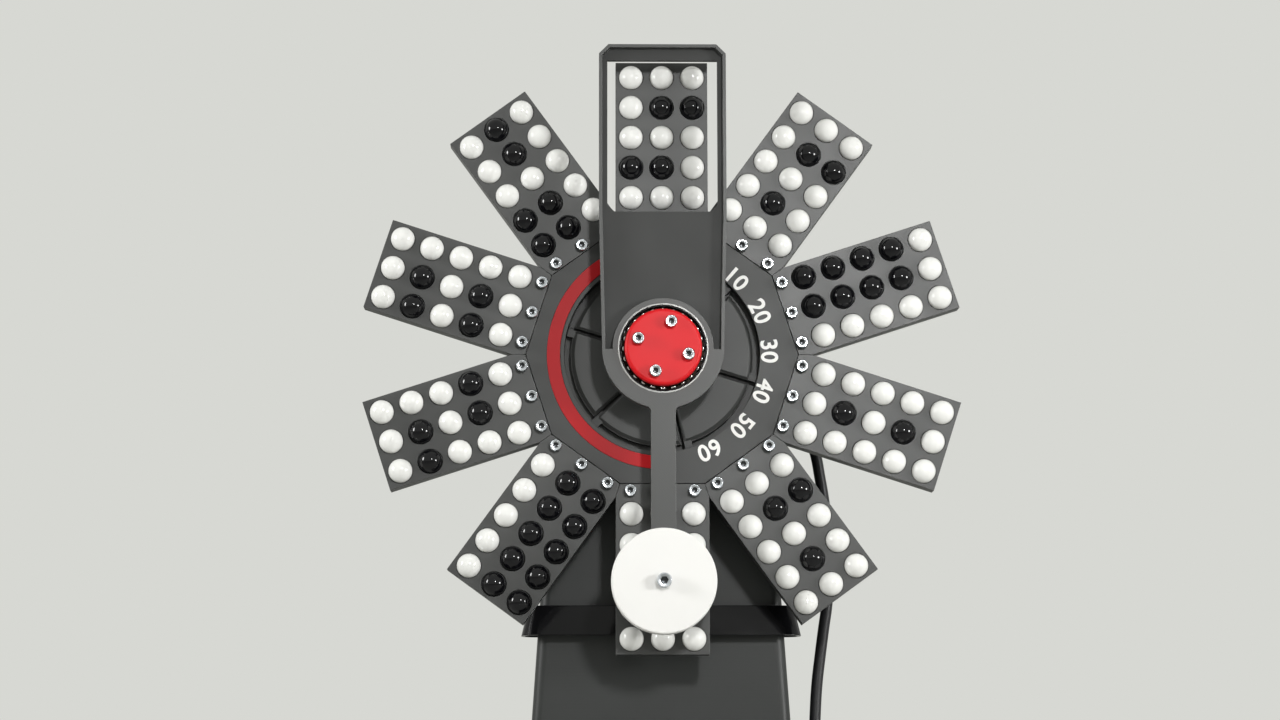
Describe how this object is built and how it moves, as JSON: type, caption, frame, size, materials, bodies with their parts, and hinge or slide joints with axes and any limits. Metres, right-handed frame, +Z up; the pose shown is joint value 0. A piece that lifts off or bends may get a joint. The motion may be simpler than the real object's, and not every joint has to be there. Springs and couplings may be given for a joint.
{
  "type": "digit wheel clock",
  "caption": "Driven wheel of marble-studded digit panels on a tapered stand, with a counterweighted window frame that hangs upright over the panel at the top.",
  "frame": {"origin": "on the table plane, under the middle of the clock's width and depth, cord left out", "axes": "+Z up, +X to the viewer's right, +Y away from the viewer; the wheel's axle runs along Y"},
  "size_m": [0.3738, 0.2054, 0.459],
  "materials": {
    "dark_print": "matte printed plastic with fine layer lines",
    "red_print": "satin red plastic",
    "white_glass": "polished opaque white glass",
    "black_glass": "polished opaque black glass",
    "zinc_steel": "bright zinc plating",
    "bearing_steel": "ground bearing steel",
    "cage_brass": "pressed brass",
    "turned_aluminium": "turned, satin",
    "plain_steel": "machined",
    "magnet_nickel": "nickel plated",
    "gear_print": "matte printed plastic",
    "white_print": "satin white plastic",
    "gloss_black": "high gloss",
    "foot_rubber": "matt",
    "motor_black": "satin black paint, laminated steel middle",
    "board_green": "solder mask",
    "lead_black": "satin flexible plastic"
  },
  "bodies": {
    "stand": {"tower_lower": "dark_print", "tower_upper": "dark_print", "collar": "gloss_black", "rear_cover": "dark_print", "cover_screws": "zinc_steel", "base_plate": "dark_print", "base_screws": "zinc_steel", "rubber_feet": "foot_rubber", "bearing_carrier": "dark_print", "carrier_screws": "zinc_steel", "shaft_bearings_outer": "bearing_steel", "stepper_motor": "motor_black", "motor_screws": "zinc_steel", "hall_sensor": "board_green", "controller_board": "board_green", "cord_gland": "lead_black", "power_cord": "lead_black", "cord_coil": "lead_black", "power_plug": "lead_black"},
    "wheel": {"hub_ring": "dark_print", "hub_disc": "dark_print", "red_arc": "red_print", "digit_panel_0": "dark_print", "digit_panel_1": "dark_print", "digit_panel_2": "dark_print", "digit_panel_3": "dark_print", "digit_panel_4": "dark_print", "digit_panel_5": "dark_print", "digit_panel_6": "dark_print", "digit_panel_7": "dark_print", "digit_panel_8": "dark_print", "digit_panel_9": "dark_print", "white_marbles": "white_glass", "black_marbles": "black_glass", "panel_screws": "zinc_steel", "ring_screws": "zinc_steel", "home_magnet": "magnet_nickel", "bearing_post": "turned_aluminium", "post_screws": "zinc_steel", "clamp_cap": "red_print", "cap_screws": "zinc_steel", "frame_bearing_inner": "bearing_steel", "main_shaft": "bearing_steel", "shaft_pin": "bearing_steel", "driven_gear": "gear_print", "gear_screws": "zinc_steel", "shaft_spacer": "plain_steel", "shaft_bearings_inner": "bearing_steel", "shaft_collar": "plain_steel"},
    "ball_cage": {"frame_bearing_balls": "bearing_steel", "frame_bearing_cage": "cage_brass"},
    "window": {"window_frame": "dark_print", "frame_bearing_outer": "bearing_steel", "counterweight_disc": "white_print", "counterweight_slug": "plain_steel", "disc_bolt": "zinc_steel", "disc_nut": "zinc_steel"},
    "motor_rotor": {"motor_shaft": "bearing_steel", "drive_pinion": "bearing_steel"}
  },
  "joints": [
    {"name": "wheel_spin", "type": "hinge", "parent": "stand", "child": "wheel", "pos_m": [0, -0.054, 0.28], "axis": [0, 1, 0], "continuous": true},
    {"name": "window_swing", "type": "hinge", "parent": "stand", "child": "window", "pos_m": [0, -0.081, 0.28], "axis": [0, 1, 0], "continuous": true},
    {"name": "ball_cage_spin", "type": "hinge", "parent": "stand", "child": "ball_cage", "pos_m": [0, -0.0815, 0.28], "axis": [0, 1, 0], "continuous": true},
    {"name": "motor_spin", "type": "hinge", "parent": "stand", "child": "motor_rotor", "pos_m": [0, -0.036, 0.226], "axis": [0, 1, 0], "continuous": true}
  ],
  "couplings": [
    {"joint": "ball_cage_spin", "follows": "wheel_spin", "ratio": 0.462},
    {"joint": "motor_spin", "follows": "wheel_spin", "ratio": -3}
  ]
}
